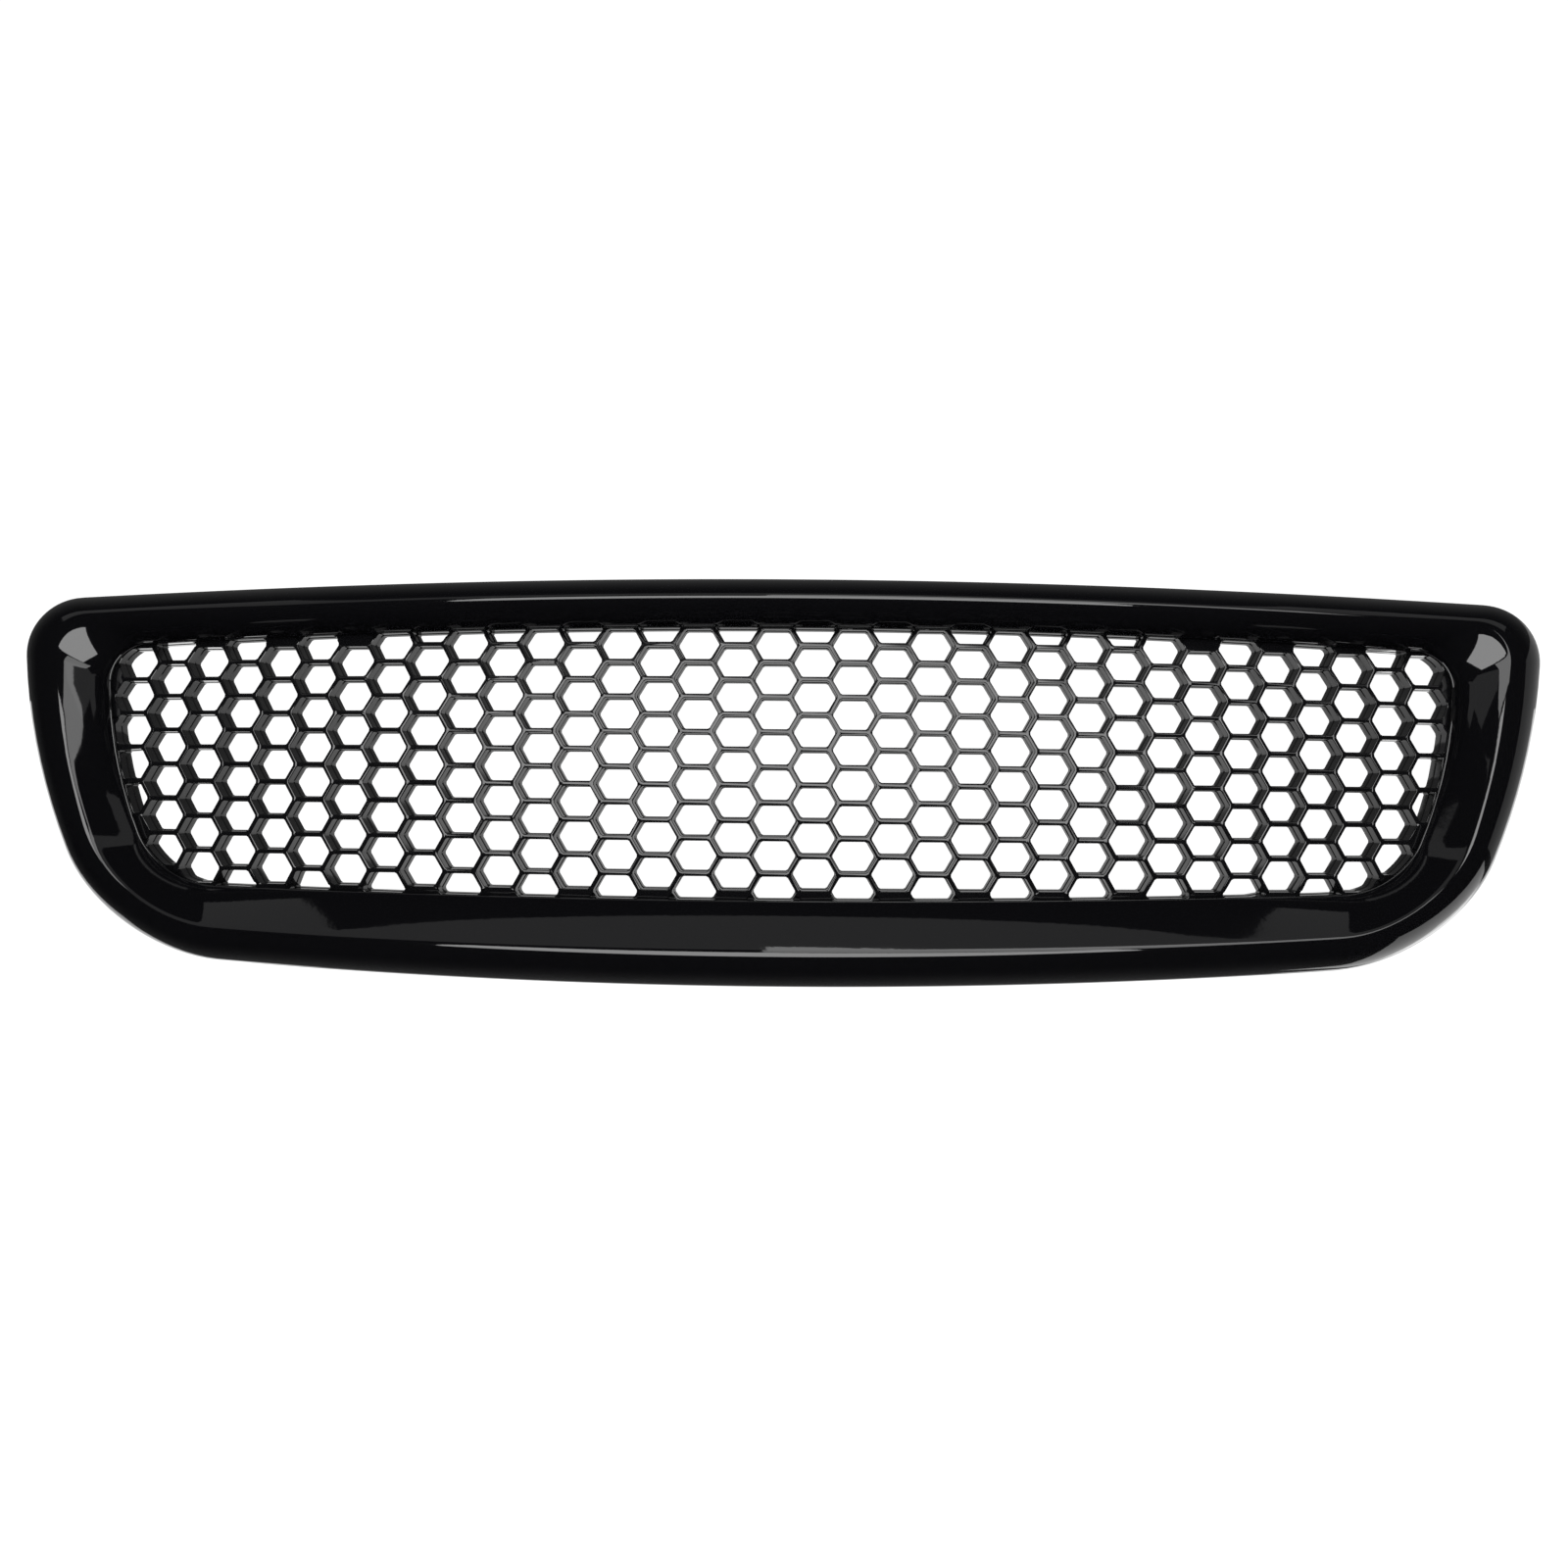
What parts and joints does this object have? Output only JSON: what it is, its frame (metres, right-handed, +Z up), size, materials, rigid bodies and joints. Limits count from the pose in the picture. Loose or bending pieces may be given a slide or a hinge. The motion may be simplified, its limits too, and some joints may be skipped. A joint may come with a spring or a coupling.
{
  "type": "front grille",
  "caption": "Front grille of a car: gloss black moulded surround with a bowed honeycomb insert screwed in from behind, upper tabs with spring nuts and lower pegs with rubber grommets.",
  "frame": {"origin": "middle of the grille's box", "axes": "+Z up, the front faces -Y, +X is to the right of a person looking at the front"},
  "size_m": [0.924, 0.1408, 0.239],
  "materials": {
    "surround": "deep gloss black",
    "mesh": "gloss black",
    "screw": "black zinc",
    "nut": "phosphated spring steel",
    "grommet": "matt black"
  },
  "bodies": {
    "root": {"surround_shell": "surround", "honeycomb_insert": "mesh", "insert_screw_01": "screw", "insert_screw_02": "screw", "insert_screw_03": "screw", "insert_screw_04": "screw", "insert_screw_05": "screw", "insert_screw_06": "screw", "insert_screw_07": "screw", "insert_screw_08": "screw", "insert_screw_09": "screw", "insert_screw_10": "screw", "insert_screw_11": "screw", "insert_screw_12": "screw", "insert_screw_13": "screw", "insert_screw_14": "screw", "spring_nut_1": "nut", "spring_nut_2": "nut", "spring_nut_3": "nut", "spring_nut_4": "nut", "peg_grommet_1": "grommet", "peg_grommet_2": "grommet", "peg_grommet_3": "grommet"}
  },
  "joints": []
}
